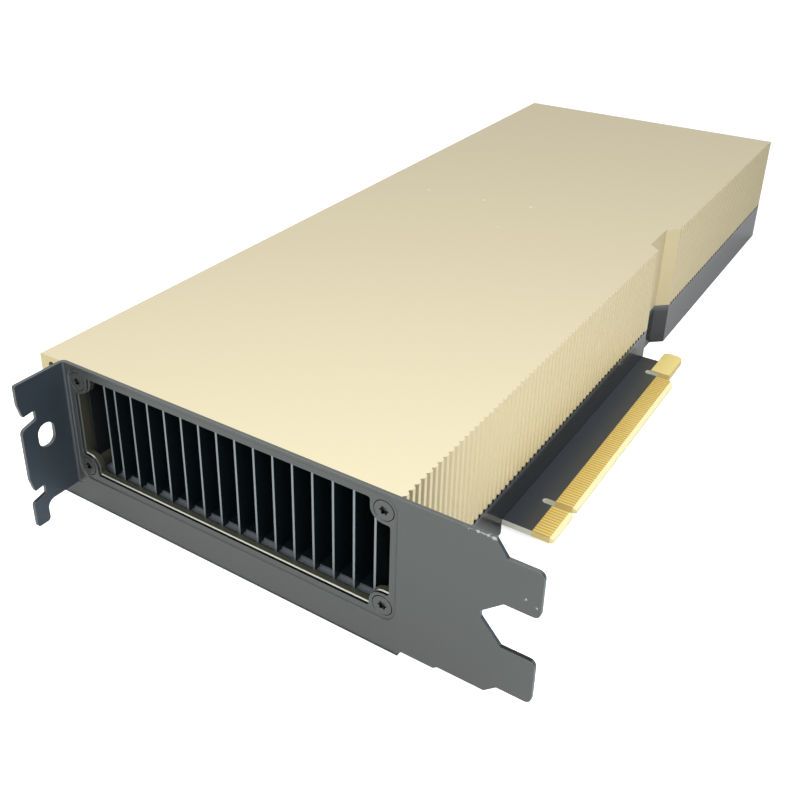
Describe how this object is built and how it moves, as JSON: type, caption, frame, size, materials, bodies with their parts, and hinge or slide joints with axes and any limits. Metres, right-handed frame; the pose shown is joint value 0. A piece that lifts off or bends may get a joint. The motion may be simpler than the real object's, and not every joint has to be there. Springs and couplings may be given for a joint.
{
  "type": "passive accelerator card",
  "caption": "Full-height dual-slot server accelerator card: finned heat sink under a fluted metal cover, vented bracket, edge connector.",
  "frame": {"origin": "middle of the card's base, below the middle of its bounding box", "axes": "+X along the card from the bracket to the power socket, +Y from the edge connector to the long side away from it, +Z from the base to the cover's roof"},
  "size_m": [0.2812, 0.1272, 0.0393],
  "materials": {
    "bracket_coat": "satin dark grey coating",
    "screw_black": "black oxide",
    "champagne_anodised": "bead-blasted, champagne-gold anodised",
    "frame_coat": "satin black coating",
    "film": "matte",
    "solder_mask": "dark slate solder mask",
    "gold_plate": "hard gold plating",
    "package_green": "matte laminate",
    "nickel_steel": "nickel plated",
    "silicon": "polished silicon",
    "compound": "grey paste",
    "bare_aluminium": "mill finish",
    "choke_grey": "moulded iron powder",
    "package_black": "moulded epoxy",
    "pad_grey": "silicone pad",
    "can_aluminium": "drawn can",
    "spring_steel": "zinc plated",
    "socket_black": "moulded nylon",
    "tin_plate": "tin plating"
  },
  "bodies": {
    "root": {"bracket": "bracket_coat", "bracket_screws": "screw_black", "vent_frame": "frame_coat", "cover": "champagne_anodised", "frame": "frame_coat", "back_plate": "frame_coat", "case_screws": "screw_black", "insulating_film": "film", "circuit_board": "solder_mask", "edge_contacts_front": "gold_plate", "edge_contacts_back": "gold_plate", "hook_plating": "gold_plate", "processor_substrate": "package_green", "package_stiffener": "nickel_steel", "processor_die": "silicon", "memory_stacks": "silicon", "thermal_compound": "compound", "heatsink_base": "bare_aluminium", "fin_stack": "bare_aluminium", "air_baffle": "film", "power_chokes": "choke_grey", "power_stages": "package_black", "thermal_pads": "pad_grey", "polymer_capacitors": "can_aluminium", "support_chips": "package_black", "spring_brace": "spring_steel", "brace_screws": "spring_steel", "brace_washers": "spring_steel", "power_socket": "socket_black", "power_socket_pins": "tin_plate"}
  },
  "joints": []
}
